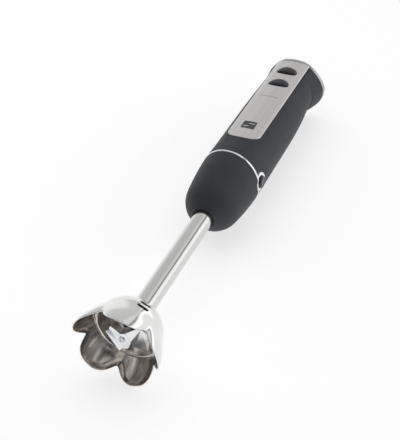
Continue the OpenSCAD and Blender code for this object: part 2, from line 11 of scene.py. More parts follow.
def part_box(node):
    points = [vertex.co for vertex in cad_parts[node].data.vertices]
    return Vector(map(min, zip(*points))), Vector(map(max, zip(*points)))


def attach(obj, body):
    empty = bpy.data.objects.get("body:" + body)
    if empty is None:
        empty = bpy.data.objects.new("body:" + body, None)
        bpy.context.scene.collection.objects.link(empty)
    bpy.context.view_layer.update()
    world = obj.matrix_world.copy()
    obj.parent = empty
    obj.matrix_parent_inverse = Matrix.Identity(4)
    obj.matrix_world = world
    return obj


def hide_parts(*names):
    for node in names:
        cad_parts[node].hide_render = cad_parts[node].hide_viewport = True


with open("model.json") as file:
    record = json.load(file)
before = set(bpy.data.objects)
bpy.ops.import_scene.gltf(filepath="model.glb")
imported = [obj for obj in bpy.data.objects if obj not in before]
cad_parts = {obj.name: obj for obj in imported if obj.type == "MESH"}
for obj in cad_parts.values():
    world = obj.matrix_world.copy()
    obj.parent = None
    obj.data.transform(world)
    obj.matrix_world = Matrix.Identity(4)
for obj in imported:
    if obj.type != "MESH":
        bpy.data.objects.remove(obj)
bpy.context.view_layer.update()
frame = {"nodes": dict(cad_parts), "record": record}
scene = bpy.context.scene

MM = 0.001
tube_low, tube_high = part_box("shaft_tube")
# the drive axis, at the datum just inside the bell's mouth: stations below are in mm from it
DATUM = Vector((tube_low.x - 30 * MM, (tube_low.y + tube_high.y) / 2, (tube_low.z + tube_high.z) / 2))


def at(x, y, z):
    return DATUM + Vector((x, y, z)) * MM


# ------------------------------------------------------------------ mesh helpers
def make_object(name, points, faces):
    """Object from points in mm on the drive axis's frame."""
    mesh = bpy.data.meshes.new(name)
    mesh.from_pydata([at(*p) for p in points], [], faces)
    obj = bpy.data.objects.new(name, mesh)
    scene.collection.objects.link(obj)
    clean(mesh)
    return obj


def clean(mesh):
    """Merges doubled points and turns every face outwards."""
    bm = bmesh.new()
    bm.from_mesh(mesh)
    bmesh.ops.remove_doubles(bm, verts=bm.verts, dist=2e-6)
    bmesh.ops.recalc_face_normals(bm, faces=bm.faces)
    bm.to_mesh(mesh)
    bm.free()


def bake(obj):
    """Applies the object's modifiers to its mesh."""
    shown = obj.evaluated_get(bpy.context.evaluated_depsgraph_get())
    mesh = bpy.data.meshes.new_from_object(shown)
    obj.modifiers.clear()
    obj.data = mesh
    mesh.name = obj.name


def combine(obj, others, operation):
    """Boolean of obj with other objects, which are then removed."""
    for other in others:
        cut = obj.modifiers.new(operation, "BOOLEAN")
        cut.operation = operation
        cut.solver = "EXACT"
        cut.object = other
    bpy.context.view_layer.update()
    bake(obj)
    for other in others:
        bpy.data.objects.remove(other)


def join(obj, others):
    """Adds the meshes of others to obj and removes them."""
    bm = bmesh.new()
    bm.from_mesh(obj.data)
    for other in others:
        bm.from_mesh(other.data)
        bpy.data.objects.remove(other)
    bm.to_mesh(obj.data)
    bm.free()
    return obj


def bevel(obj, width, angle):
    """Rounds the edges sharper than an angle."""
    mod = obj.modifiers.new("edges", "BEVEL")
    mod.width = width * MM
    mod.segments = 2
    mod.limit_method = "ANGLE"
    mod.angle_limit = math.radians(angle)
    bpy.context.view_layer.update()
    bake(obj)


def smooth(obj, angle):
    """Smooth shading, with the edges over an angle left sharp."""
    mesh = obj.data
    mesh.shade_smooth()
    mesh.set_sharp_from_angle(angle=math.radians(angle))


def rings_object(name, rings, closed=False):
    """Solid through rings of equal length: capped, or closed by joining the last ring to the first."""
    n = len(rings[0])
    points = [p for ring in rings for p in ring]
    faces = []
    last = len(rings) if closed else len(rings) - 1
    for j in range(last):
        m = (j + 1) % len(rings)
        for i in range(n):
            k = (i + 1) % n
            faces.append((j * n + i, j * n + k, m * n + k, m * n + i))
    if not closed:
        faces.append(tuple(range(n)))
        faces.append(tuple((len(rings) - 1) * n + i for i in reversed(range(n))))
    return make_object(name, points, faces)


def steps(a, b, n):
    """n + 1 evenly spaced values from a to b."""
    return [a + (b - a) * i / n for i in range(n + 1)]


def full_turn(count):
    """Angles of a full turn, without the last, which repeats the first."""
    return steps(0, 2 * math.pi, count)[:-1]


def circle(x, r, count):
    """Circle about the drive axis at station x."""
    return [(x, r * math.cos(t), r * math.sin(t)) for t in full_turn(count)]


def ellipse(x, half, height, count):
    """Flat points of an ellipse centred on station x."""
    return [(x + half * math.cos(t), height * math.sin(t)) for t in full_turn(count)]


def turned(name, profile, count):
    """Turned about the drive axis from (station, radius) pairs."""
    return rings_object(name, [circle(x, r, count) for x, r in profile], closed=True)


def prism(name, points, low, high):
    """Extrusion along Z of (x, y) points."""
    return rings_object(name, [[(x, y, z) for x, y in points] for z in (low, high)])


def side_prism(name, half, height, count=64):
    """Oval bar that crosses both sides of the handle at the release buttons."""
    ring = ellipse(BEZEL_X, half, height, count)
    return rings_object(name, [[(x, y, z) for x, z in ring] for y in (-40, 40)])


def finish_piece(obj, body, nodes, slot, angle, paint=None):
    """Gives a piece its material, and lets it ride on a body in place of CAD nodes."""
    smooth(obj, angle)
    obj.data.materials.clear()
    obj.data.materials.append(material(paint or slot))
    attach(obj, body)
    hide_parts(*nodes)


# ------------------------------------------------------------------ shape of the handle and nose
BODY_END = 366
RING_X, RING_HALF = 208.6, 1.15
NOSE_X, NOSE_END_X = 153, RING_X - RING_HALF - 0.3
CASING_X = RING_X + RING_HALF + 0.1
PLATE_X, PLATE_END_X, END_RIM_X = 237.9, 360.6, 361
PLATE_HALF, PLATE_CORNER, PLATE_BOW, PLATE_SHEET = 15.05, 9, 3.8, 1.2
CROWN_RADIUS = 48
BEZEL_X, BEZEL_HALF, BEZEL_HEIGHT, RELEASE_RADIUS = 213, 7.8, 8.7, 5.4
WALL, SKIN_SIDES = 2.2, 144
TUBE_RADIUS = 8.5
BUTTONS = {"low_speed_button": 321, "turbo_button": 341.6}
BUTTON_HALF, BUTTON_ROUND, BUTTON_FLAT = 9.1, 7.4, 3
CAP_Z, CAP_TOP = 21.2, 26.4
# station, half width, top, bottom, narrowing of the upper half
HANDLE = (
    (200, 26.2, 29.2, -29.2, 0), (208, 26.5, 29.4, -29.5, 0), (237, 26.3, 28.2, -29.3, 0),
    (265, 26.2, 27.6, -29, 0), (290, 26.1, 26.8, -28.4, 0), (315, 25.4, 25.9, -26.6, 0),
    (328, 24.6, 25.4, -24.2, 0), (336, 24, 25.2, -22.4, 0), (342.5, 23.6, 25.1, -21.6, 0.01),
    (344.5, 24.3, 25.1, -24, 0.03), (348, 25.2, 25.1, -25.6, 0.06), (353, 26.3, 25.1, -27.4, 0.1),
    (358.5, 27.5, 25.1, -28.8, 0.13), (364, 28.6, 25.1, -29.8, 0.14), (370, 29, 25.1, -30, 0.14),
)
NOSE = (
    (NOSE_X, 9.6, 9.6, -9.6, 0), (154, 11.1, 11.1, -11.1, 0), (155.5, 13.5, 13.5, -13.5, 0),
    (158, 16.7, 16.8, -16.8, 0), (162, 20.2, 20.4, -20.4, 0), (169, 23.2, 23.7, -23.7, 0),
    (180, 24.7, 26.2, -26.2, 0), (191, 25.6, 28.1, -28.1, 0), (203, 26.3, 29.2, -29.2, 0),
    (210, 26.5, 29.5, -29.5, 0),
)


def level(table, column, x):
    """Smooth value of a table's column at station x, without overshoot between rows."""
    x = min(max(x, table[0][0]), table[-1][0])
    i = max(k for k in range(len(table) - 1) if table[k][0] <= x)
    slopes = [
        (table[k + 1][column] - table[k][column]) / (table[k + 1][0] - table[k][0])
        for k in range(len(table) - 1)
    ]

    def tangent(k):
        if k == 0 or k == len(table) - 1:
            return slopes[min(k, len(slopes) - 1)]
        before, after = slopes[k - 1], slopes[k]
        return 0 if before * after <= 0 else 2 * before * after / (before + after)

    step = table[i + 1][0] - table[i][0]
    t = (x - table[i][0]) / step
    return (
        (2 * t**3 - 3 * t**2 + 1) * table[i][column]
        + (t**3 - 2 * t**2 + t) * step * tangent(i)
        + (3 * t**2 - 2 * t**3) * table[i + 1][column]
        + (t**3 - t**2) * step * tangent(i + 1)
    )


def crown_z(x):
    """Height of the handle's front line at a station."""
    if x < PLATE_X:
        return 26 + 3.6 * ((PLATE_X - x) / (PLATE_X - RING_X)) ** 1.3
    return 26 - 2 * (x - PLATE_X) / (PLATE_END_X - PLATE_X)


def crown(x, y):
    """Height of the crowned front surface."""
    return crown_z(x) - CROWN_RADIUS + math.sqrt(CROWN_RADIUS**2 - min(abs(y), 40) ** 2)


def softer_low(a, b, k=0.35):
    """The lower of two heights, eased where they cross."""
    low, gap = min(a, b), abs(a - b)
    return low - k * math.log(1 + math.exp(-gap / k))


def outline(table, x, inset=0.0):
    """Cross-section of the handle or nose at a station, drawn in by inset."""
    half_width = level(table, 1, x) - inset
    top, low = level(table, 2, x) - inset, level(table, 3, x) + inset
    narrow = level(table, 4, x)
    middle, half = (top + low) / 2, (top - low) / 2
    ring = []
    for t in full_turn(SKIN_SIDES):
        y = half_width * math.cos(t) * (1 - narrow * max(0, math.sin(t)))
        z = middle + half * math.sin(t)
        if z > 0:
            z = softer_low(z, crown(x, y) - inset)
        ring.append((x, y, z))
    return ring


def side_y(x, z):
    """Half width of the handle's skin at a station and height."""
    top, low = level(HANDLE, 2, x), level(HANDLE, 3, x)
    share = (z - (top + low) / 2) / ((top - low) / 2)
    return level(HANDLE, 1, x) * math.sqrt(max(0, 1 - share * share))


def plate_corner(grow=0.0):
    """Centre and radius of the plate's bowed edge, then the centre, radius and angle of its corners."""
    half, corner = PLATE_HALF + grow, PLATE_CORNER + grow
    bow = (PLATE_HALF**2 + PLATE_BOW**2) / (2 * PLATE_BOW)
    radius = bow + grow
    centre = PLATE_X - PLATE_BOW + bow
    corner_y = half - corner
    corner_x = centre - math.sqrt((radius - corner) ** 2 - corner_y**2)
    return centre, radius, corner_x, corner_y, corner, math.atan2(corner_y, centre - corner_x)


def plate_points(grow):
    """Outline of the face plate: its edge towards the bell is bowed, with round corners."""
    half = PLATE_HALF + grow
    centre, radius, corner_x, corner_y, corner, turn = plate_corner(grow)
    bend = [
        (corner_x + corner * math.cos(t), corner_y + corner * math.sin(t))
        for t in steps(math.pi / 2, math.pi - turn, 12)
    ]
    edge = [
        (centre + radius * math.cos(t), radius * math.sin(t))
        for t in steps(math.pi - turn, math.pi + turn, 24)[1:-1]
    ]
    back = [(x, -y) for x, y in reversed(bend)]
    return [(PLATE_END_X + grow, -half), (PLATE_END_X + grow, half)] + bend + edge + back


def half_of_plate(x):
    """Half width of the plate's outline at a station."""
    centre, radius, corner_x, corner_y, corner, turn = plate_corner()
    if x >= corner_x:
        return PLATE_HALF
    if x > corner_x - corner * math.cos(turn):
        return corner_y + math.sqrt(corner**2 - (x - corner_x) ** 2)
    return math.sqrt(max(0, radius**2 - (x - centre) ** 2))


def button_points(x, grow):
    """Outline of a speed button whose widest line is at station x."""
    ring = []
    for t in full_turn(72):
        c, s = math.cos(t), math.sin(t)
        along = (BUTTON_ROUND + grow) * s if s > 0 else -(BUTTON_FLAT + grow) * (-s) ** 0.85
        across = (BUTTON_HALF + grow) * math.copysign(abs(c) ** 0.92, c)
        ring.append((x + along, across))
    return ring


# ------------------------------------------------------------------ materials
PAINTS = {
    # name: colour, metallic, roughness, colour spread, grain scale, bump distance in mm, coat
    "soft_touch": ((0.041, 0.0428, 0.0495), 0, 0.6, 0.08, (900, 900, 900), 0.01, 0),
    "plate_steel": ((0.675, 0.66, 0.65), 1, 0.3, 0.07, (5, 230, 230), 0, 0),
    "polished_steel": ((0.68, 0.675, 0.67), 1, 0.06, 0.02, (120, 120, 120), 0.0008, 0),
    # satin steel inside the bell: its wide colour spread on stretched grain is painted reflection streaks
    "bell_satin_sheen_streaks": ((0.66, 0.625, 0.595), 1, 0.15, 0.42, (7, 130, 130), 0, 0),
    "rim_silver": ((0.42, 0.45, 0.44), 1, 0.32, 0.02, (400, 400, 400), 0.001, 0),
    "badge_dark": ((0.05, 0.052, 0.058), 0, 0.35, 0.05, (900, 900, 900), 0.001, 0),
    "badge_mark": ((0.6, 0.6, 0.6), 0, 0.4, 0.03, (900, 900, 900), 0.001, 0),
    # near-black steel of the tube's stub inside the bell and of its bore: painted shade
    "tube_painted_shade": ((0.09, 0.088, 0.085), 1, 0.5, 0.05, (400, 400, 400), 0.002, 0),
    "dome_steel": ((0.77, 0.765, 0.76), 1, 0.1, 0.02, (120, 120, 120), 0.0004, 0),
    "trim_silver": ((0.85, 0.87, 0.88), 1, 0.14, 0.02, (400, 400, 400), 0.001, 0),
    "blade_steel": ((0.8, 0.81, 0.82), 1, 0.24, 0.03, (600, 200, 600), 0.0004, 0),
    "button_black": ((0.026, 0.027, 0.035), 0, 0.26, 0.1, (1200, 1200, 1200), 0.004, 0),
    "inner_plastic": ((0.03, 0.03, 0.033), 0, 0.5, 0.12, (700, 700, 700), 0.01, 0),
    "end_plastic": ((0.038, 0.039, 0.043), 0, 0.45, 0.12, (800, 800, 800), 0.02, 0),
    "seal_rubber": ((0.012, 0.012, 0.012), 0, 0.7, 0.15, (500, 500, 500), 0.01, 0),
    "spring_steel": ((0.55, 0.55, 0.56), 1, 0.28, 0.06, (900, 900, 900), 0.002, 0),
    "zinc_steel": ((0.52, 0.52, 0.54), 1, 0.38, 0.1, (300, 300, 300), 0.004, 0),
    "shaft_steel": ((0.66, 0.66, 0.68), 1, 0.2, 0.05, (60, 1800, 1800), 0.002, 0),
    "bronze": ((0.55, 0.33, 0.13), 1, 0.42, 0.15, (900, 900, 900), 0.01, 0),
    "copper": ((0.62, 0.24, 0.09), 1, 0.3, 0.12, (200, 2400, 2400), 0.03, 0),
    "core_steel": ((0.24, 0.24, 0.26), 1, 0.45, 0.12, (3000, 60, 60), 0.02, 0),
    "magnet": ((0.05, 0.05, 0.055), 0, 0.55, 0.2, (700, 700, 700), 0.01, 0),
    "carbon": ((0.02, 0.02, 0.02), 0, 0.6, 0.2, (900, 900, 900), 0.01, 0),
    "coupling_plastic": ((0.66, 0.64, 0.58), 0, 0.4, 0.05, (500, 500, 500), 0.006, 0),
    "board_green": ((0.01, 0.07, 0.03), 0, 0.35, 0.2, (300, 300, 300), 0.004, 0),
    "component_dark": ((0.015, 0.015, 0.016), 0, 0.4, 0.1, (800, 800, 800), 0.004, 0),
    "plunger_red": ((0.35, 0.02, 0.015), 0, 0.4, 0.08, (600, 600, 600), 0.004, 0),
    "cell_sleeve": ((0.02, 0.06, 0.2), 0, 0.3, 0.1, (200, 200, 200), 0.004, 0.3),
    "nickel": ((0.6, 0.58, 0.54), 1, 0.3, 0.08, (500, 500, 500), 0.003, 0),
}
# the plate's colour follows its brushed grain; inside the bell the same kind of stretched grain paints
# reflection streaks
BRUSHED_GRAIN_AND_SHEEN_STREAKS = ("plate_steel", "bell_satin_sheen_streaks")
made_materials = {}


def noise(nodes, links, coords, scale, detail):
    """Noise over the object's own space, stretched by a scale for each axis."""
    mapping = nodes.new("ShaderNodeMapping")
    mapping.inputs["Scale"].default_value = scale
    links.new(coords.outputs["Object"], mapping.inputs["Vector"])
    texture = nodes.new("ShaderNodeTexNoise")
    texture.inputs["Scale"].default_value = 1
    texture.inputs["Detail"].default_value = detail
    texture.inputs["Roughness"].default_value = 0.55
    links.new(mapping.outputs["Vector"], texture.inputs["Vector"])
    return texture


def spread(nodes, links, value, low, high):
    """Remaps the middle of a noise value's range to low and high."""
    remap = nodes.new("ShaderNodeMapRange")
    remap.inputs["From Min"].default_value = 0.3
    remap.inputs["From Max"].default_value = 0.7
    remap.inputs["To Min"].default_value = low
    remap.inputs["To Max"].default_value = high
    links.new(value, remap.inputs["Value"])
    return remap.outputs["Result"]


def material(paint):
    """Procedural material of a paint, made once."""
    if paint in made_materials:
        return made_materials[paint]
    colour, metallic, roughness, vary, grain, depth, coat = PAINTS[paint]
    mat = bpy.data.materials.new(paint)
    mat.use_nodes = True
    nodes, links = mat.node_tree.nodes, mat.node_tree.links
    shader = nodes["Principled BSDF"]
    if paint == "soft_touch":
        shader.inputs["Specular IOR Level"].default_value = 0.32
    coords = nodes.new("ShaderNodeTexCoord")
    fine = noise(nodes, links, coords, grain, 3)
    broad = noise(nodes, links, coords, (35, 35, 35), 4)
    tint = nodes.new("ShaderNodeMix")
    tint.data_type = "RGBA"
    tint.inputs[6].default_value = (*[c * (1 - vary) for c in colour], 1)
    tint.inputs[7].default_value = (*[min(1, c * (1 + vary)) for c in colour], 1)
    shade = fine if paint in BRUSHED_GRAIN_AND_SHEEN_STREAKS else broad
    links.new(spread(nodes, links, shade.outputs["Fac"], 0, 1), tint.inputs[0])
    links.new(tint.outputs[2], shader.inputs["Base Color"])
    links.new(
        spread(nodes, links, fine.outputs["Fac"], roughness * 0.88, min(1, roughness * 1.12)),
        shader.inputs["Roughness"],
    )
    if depth:
        bump = nodes.new("ShaderNodeBump")
        bump.inputs["Strength"].default_value = 1
        bump.inputs["Distance"].default_value = depth * MM
        links.new(fine.outputs["Fac"], bump.inputs["Height"])
        links.new(bump.outputs["Normal"], shader.inputs["Normal"])
    shader.inputs["Metallic"].default_value = metallic
    shader.inputs["Coat Weight"].default_value = coat
    made_materials[paint] = mat
    return mat


# ------------------------------------------------------------------ handle
def build_casing():
    stations = steps(CASING_X, 236, 16) + steps(240, 328, 30)
    stations += steps(330, 340, 8) + steps(341, END_RIM_X - 0.1, 26)
    rings = [outline(HANDLE, x) for x in stations]
    rings += [outline(HANDLE, x, WALL) for x in reversed(stations)]
    casing = rings_object("rear_casing_skin", rings, closed=True)
    plate_cut = prism("plate_cut", plate_points(0.15), 0, 60)
    combine(casing, [plate_cut, side_prism("bezel_cut", BEZEL_HALF + 0.1, BEZEL_HEIGHT + 0.1)], "DIFFERENCE")
    finish_piece(casing, "handle", ["rear_casing"], "soft_touch", 32)


def build_plate():
    edge, across = 0.55, 36
    start = PLATE_X - PLATE_BOW
    stations = [start + 9 * (1 - math.cos(t)) for t in steps(0.03, math.pi / 2, 26)]
    stations += steps(start + 9, PLATE_END_X, 60)[1:]

    def section(x, end_drop):
        half = half_of_plate(x)
        ring = []
        inner = max(half - edge, half * 0.2)
        slopes = [(1.0, -PLATE_SHEET), (1.0, -0.42), (0.75, -0.17), (0.35, -0.03)]
        left = [(inner + (half - inner) * s, d) for s, d in slopes]
        top = [(y, 0.0) for y in steps(inner, -inner, across)]
        right = [(-y, d) for y, d in reversed(left)]
        for y, drop in left + top + right:
            ring.append((x, y, crown(x, y) + min(0, max(drop - end_drop, -PLATE_SHEET))))
        for y in steps(-half, half, across)[1:-1]:
            ring.append((x, y, crown(x, y) - PLATE_SHEET))
        return ring

    rings = []
    for x in stations:
        reach = x - start
        rings.append(section(x, 0.42 * max(0, 1 - reach / 0.5) ** 2))
    plate = rings_object("face_plate_skin", rings)
    lip = 0.75
    cutters = [prism("hole", button_points(x, 0.3 + lip), 10, 50) for x in BUTTONS.values()]
    combine(plate, cutters, "DIFFERENCE")
    lips = []
    for x in BUTTONS.values():
        profile = [(0.3 + lip, 0.0), (0.3 + lip * 0.6, -0.06), (0.3 + lip * 0.25, -0.26), (0.3, -0.6)]
        profile += [(0.3, -PLATE_SHEET), (0.3 + lip, -PLATE_SHEET)]
        rings = [[(px, py, crown(px, py) + drop) for px, py in button_points(x, g)] for g, drop in profile]
        lips.append(rings_object("lip", rings, closed=True))
    join(plate, lips)
    finish_piece(plate, "handle", ["face_plate"], "plate_steel", 30)


def plaque(name, x0, x1, y0, y1, rise):
    """Thin inlay with chamfered corners that follows the plate's crown."""
    columns = max(3, round((y1 - y0) / 0.6))
    cut = min(0.6, (x1 - x0) * 0.3)
    rings = []
    for i, y in enumerate(steps(y0, y1, columns)):
        trim = cut if i in (0, columns) else 0
        top, foot = crown(x0, y) + rise, crown(x0, y) - 0.25
        slope = crown(x1, y) - crown(x0, y)
        near, far = x0 + trim, x1 - trim
        rings.append([(near, y, foot), (near, y, top), (far, y, top + slope), (far, y, foot + slope)])
    return rings_object(name, rings)


def dress(obj, paint):
    """Finish of a decoration that belongs to the face plate."""
    smooth(obj, 40)
    obj.data.materials.append(material(paint))
    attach(obj, "handle")


def inlays(name, spans, rise):
    """One object of several inlays, each from its x0, x1, y0 and y1."""
    pieces = [plaque(name, *span, rise) for span in spans]
    return join(pieces[0], pieces[1:])


def build_decoration():
    """Generic dark badge with two bars, and a fine row of ticks."""
    dress(plaque("plate_badge", 248, 258.4, -6.1, 6.1, 0.07), "badge_dark")
    bars = [(x, x + 1.1, y, y + 5.4) for x, y in ((250.6, -0.6), (254.6, -4.8))]
    dress(inlays("plate_badge_bars", bars, 0.12), "badge_mark")
    ticks = [(299.5, 300.3, y, y + 0.6) for y in steps(-8.4, 8.6, 16)]
    dress(inlays("plate_ticks", ticks, 0.03), "badge_dark")


def build_buttons():
    for node, x in BUTTONS.items():
        profile = [(0, 0.0), (0, 1.5), (-0.25, 2.2), (-0.8, 2.7), (-1.6, 2.95)]
        rings = []
        for grow, rise in profile:
            ring = button_points(x, grow)
            rings.append([(px, py, CAP_Z + rise * dome_share(px, py, x)) for px, py in ring])
        for share in (0.72, 0.5, 0.25, 0.02):
            ring = []
            for px, py in button_points(x, -1.6):
                qx, qy = x + 2 + (px - x - 2) * share, py * share
                ring.append((qx, qy, min(dome_top(qx, qy, x), CAP_TOP)))
            rings.append(ring)
        cap = rings_object(node + "_cap", rings)
        join(cap, [prism("stem", ellipse(x + 1, 2, 2, 32), 17.3, CAP_Z + 0.2)])
        body = "low_speed_key" if node.startswith("low") else "turbo_key"
        finish_piece(cap, body, [node], "button_black", 50)


def dome_top(px, py, x):
    """Height of the domed top of a speed button."""
    return CAP_TOP - 20 + math.sqrt(400 - (px - x - 2) ** 2 - py**2)


def dome_share(px, py, x):
    """How much of its full rise a point on the rim of a speed button has."""
    return (dome_top(px, py, x) - CAP_Z) / 3.0


def build_trim():
    """Bright band between the arm and the handle, with an oval bezel on either side."""
    half = [(0.3, 0.5), (0.75, 0.38), (1, 0.1), (1, -1.4)]
    profile = [(-s, rise) for s, rise in reversed(half)] + half
    band = rings_object(
        "trim_ring_band", [outline(HANDLE, RING_X + s * RING_HALF, -rise) for s, rise in profile], closed=True
    )
    # share of the way from the button's hole to the bezel's edge, rise over the skin
    shape = (
        (1.0, -1.6), (1.0, 0.0), (0.93, 0.36), (0.8, 0.5), (0.55, 0.44),
        (0.3, 0.4), (0.12, 0.28), (0.0, -0.1), (0.0, -1.6),
    )
    hole = RELEASE_RADIUS + 0.2
    bezels = []
    for side in (-1, 1):
        rings = []
        for share, rise in shape:
            ring = []
            for t in full_turn(72):
                px = BEZEL_X + (hole + (BEZEL_HALF - hole) * share) * math.cos(t)
                pz = (hole + (BEZEL_HEIGHT - hole) * share) * math.sin(t)
                ring.append((px, side * (side_y(px, pz) + rise), pz))
            rings.append(ring)
        bezels.append(rings_object("bezel", rings, closed=True))
    combine(band, [side_prism("hole", 6.2, 6.2, 48)], "DIFFERENCE")
    combine(band, bezels, "UNION")
    finish_piece(band, "handle", ["trim_ring"], "trim_silver", 40)


def build_release_buttons():
    # radius and distance from the handle's middle: foot, collar, stem and dished top
    profile = [(3, 19.6), (3, 21.9), (6.5, 21.95), (6.5, 23), (RELEASE_RADIUS, 23.05)]
    profile += [(RELEASE_RADIUS, 27.2), (5.25, 27.9), (4.85, 28.35), (4.2, 28.55), (3.3, 28.62)]
    profile += [(3.0, 28.5), (2.4, 28.45), (1.2, 28.45)]
    for side, name in ((1, "left"), (-1, "right")):
        rings = [[(x, side * y, z) for x, z in ellipse(BEZEL_X, r, r, 64)] for r, y in profile]
        button = rings_object(f"release_button_{name}_cap", rings)
        finish_piece(button, f"{name}_release", [f"release_button_{name}"], "button_black", 40)


def build_end():
    """Silver rim and dark cap at the charging end."""
    profile = [(END_RIM_X, 2.6), (END_RIM_X, 0.25), (END_RIM_X + 0.25, 0.02), (363.6, 0.0), (364.3, 0.12)]
    profile += [(364.7, 0.45), (364.8, 0.9), (364.7, 1.5), (364.3, 2.0), (364.2, 2.6)]
    rim = rings_object("end_rim", [outline(HANDLE, x, inset) for x, inset in profile], closed=True)
    finish_piece(rim, "handle", ["end_trim_ring"], "trim_silver", 50, "rim_silver")
    profile = [(END_RIM_X - 2.9, 5), (END_RIM_X + 1, 5), (END_RIM_X + 1, 2.7), (364.9, 2.7), (365.5, 2.85)]
    profile += [(365.9, 3.3), (BODY_END, 4.0), (BODY_END, 7.2), (365.75, 7.5), (365.55, 7.9), (365.55, 8.4)]
    profile += [(365.75, 8.8), (BODY_END, 9.1), (BODY_END, 14)]
    # past 364 the flare almost stops
    rings = [outline(HANDLE, x if x < 364 else 364 + (x - 364) * 0.3, inset) for x, inset in profile]
    rings = [[(x, y, z) for (_, y, z) in ring] for ring, (x, _) in zip(rings, profile)]
    for x, r in ((BODY_END, 7.4), (365.6, 6.9), (365.2, 6.2), (365.2, 5.0), (END_RIM_X - 2.9, 5.0)):
        rings.append(circle(x, r, SKIN_SIDES))
    cap = rings_object("end_cap_skin", rings, closed=True)
    finish_piece(cap, "handle", ["end_cap"], "end_plastic", 40)


# ------------------------------------------------------------------ blending arm
def build_nose():
    outer = [NOSE_X + 14 * (1 - math.cos(t)) for t in steps(0, math.pi / 2, 22)]
    outer += steps(NOSE_X + 14, NOSE_END_X, 22)[1:]
    rings = [outline(NOSE, x) for x in reversed(outer)]
    bore = TUBE_RADIUS + 0.05
    rings[-1] = circle(NOSE_X + 0.35, 9.3, SKIN_SIDES)
    mouth = ((NOSE_X, 9.0), (NOSE_X + 0.1, bore + 0.1), (NOSE_X + 0.5, bore), (158, bore))
    rings += [circle(x, r, SKIN_SIDES) for x, r in mouth]
    rings += [outline(NOSE, x, WALL) for x in (158.05, 159.5, 161, 163, 166, 170, 176, 184, 194, NOSE_END_X)]
    nose = rings_object("arm_housing_skin", rings, closed=True)
    combine(nose, [side_prism("scallop", BEZEL_HALF + 0.3, BEZEL_HEIGHT + 0.3)], "DIFFERENCE")
    finish_piece(nose, "blending_arm", ["arm_housing"], "soft_touch", 32)


def build_tube():
    profile = [(30, 7.5), (30, 8.3), (30.3, TUBE_RADIUS)] + [(x, TUBE_RADIUS) for x in steps(31, 170, 24)]
    profile += [(170.8, 8.4), (171, 8.2), (171, 7.5)]
    tube = turned("shaft_tube_skin", profile, 128)
    finish_piece(tube, "blending_arm", ["shaft_tube"], "polished_steel", 40)
    # the stub inside the bell and the bore are unpolished, and their near-black colour is painted shade
    tube.data.materials.append(material("tube_painted_shade"))
    for face in tube.data.polygons:
        reach = face.center - at(0, 0, 0)
        face.material_index = 1 if reach.x < 41 * MM or reach.yz.length < 8 * MM else 0


BELL_SHEET, BELL_EDGE, DOME_X, DOME_RADIUS, SKIRT_X = 0.9, 0.28, 16.3, 27.5, 18.6
LOBES, LOBE_TURN, LOBE_RADIUS, LOBE_REACH = 5, 13.7, 35.98, 3.4
NOTCH_DEPTH, NOTCH_EASE, SKIRT_BULGE = 14.7, 0.12, 1.5
VENT_TILT, VENT_TURN, VENT_RADIUS, VENT_HALF = 71, 28.3, 2.3, 2.5
BELL_ANGLES = [LOBE_TURN + 360 * i / 240 for i in range(240)]


def notch_share(a):
    """How far an angle is into a notch: 0 at a lobe's tip, 1 in the middle of a notch."""
    pitch = 180 / LOBES
    off = abs(a - LOBE_TURN - 2 * pitch * round((a - LOBE_TURN) / (2 * pitch)))
    d = 1 - off / pitch
    ease = math.sqrt(1 + NOTCH_EASE**2) - 1
    return 1 - math.sqrt(d * d + NOTCH_EASE**2) + ease * d


def rim_x(a):
    return NOTCH_DEPTH * notch_share(a) ** 3 - LOBE_REACH


def rim_r(a):
    return LOBE_RADIUS - (LOBE_RADIUS - DOME_RADIUS - 0.4) * notch_share(a) ** 2.8


def bell_r(a, x, r):
    """Radius of a wall whose dome has radius r: the skirt leaves the dome along its tangent."""
    dx, q = rim_x(a) - DOME_X, rim_r(a) - DOME_RADIUS + r
    lean = math.atan2(dx, q) + math.acos(r / math.hypot(q, dx))
    start = DOME_X + r * math.sin(lean)
    if x > start:
        return math.sqrt(r * r - (x - DOME_X) ** 2)
    s = (start - x) / (start - rim_x(a))
    return (r - (x - DOME_X) * math.sin(lean)) / math.cos(lean) + SKIRT_BULGE * 6.75 * s * s * (1 - s)


def around(place):
    """Ring of the bell from the (station, radius) that place gives for each angle."""
    points = []
    for a in BELL_ANGLES:
        (x, r), t = place(a), math.radians(a)
        points.append((x, -r * math.sin(t), r * math.cos(t)))
    return points


def wall_ring(share, r, top):
    """Ring of the wall whose dome has radius r, at a share of the way from the rim to station top."""

    def place(a):
        x = rim_x(a) + BELL_EDGE + (top - rim_x(a) - BELL_EDGE) * share
        return x, bell_r(a, x, r)

    return around(place)


def rim_ring(depth, r):
    """Ring of the rounded rim, depth inside its tip."""
    return around(lambda a: (rim_x(a) + depth, bell_r(a, rim_x(a) + BELL_EDGE, r)))


def bell_rings():
    """Both walls of the bell, with a small weld fillet at the tube and a half-round rim."""
    neck, fillet, rows = TUBE_RADIUS + 0.1, 1.6, 56
    inner = DOME_RADIUS - BELL_SHEET
    outer_top = DOME_X + math.sqrt(DOME_RADIUS * DOME_RADIUS - (neck + fillet) * (neck + fillet))
    inner_top = DOME_X + math.sqrt(inner * inner - neck * neck)
    shares = [math.sin(math.pi / 2 * j / rows) for j in range(rows + 1)]
    rings = [wall_ring(share, DOME_RADIUS, outer_top) for share in shares]
    for rise, out in ((0.12, 0.95), (0.4, 0.45), (0.85, 0.15), (1.5, 0.0)):
        rings.append(around(lambda a: (outer_top + rise, neck + out)))
    rings += [wall_ring(share, inner, inner_top) for share in reversed(shares)]
    for depth, mix in ((0.08, 0.14), (0.0, 0.5), (0.08, 0.86)):
        rings.append(rim_ring(depth, inner + BELL_SHEET * mix))
    return rings


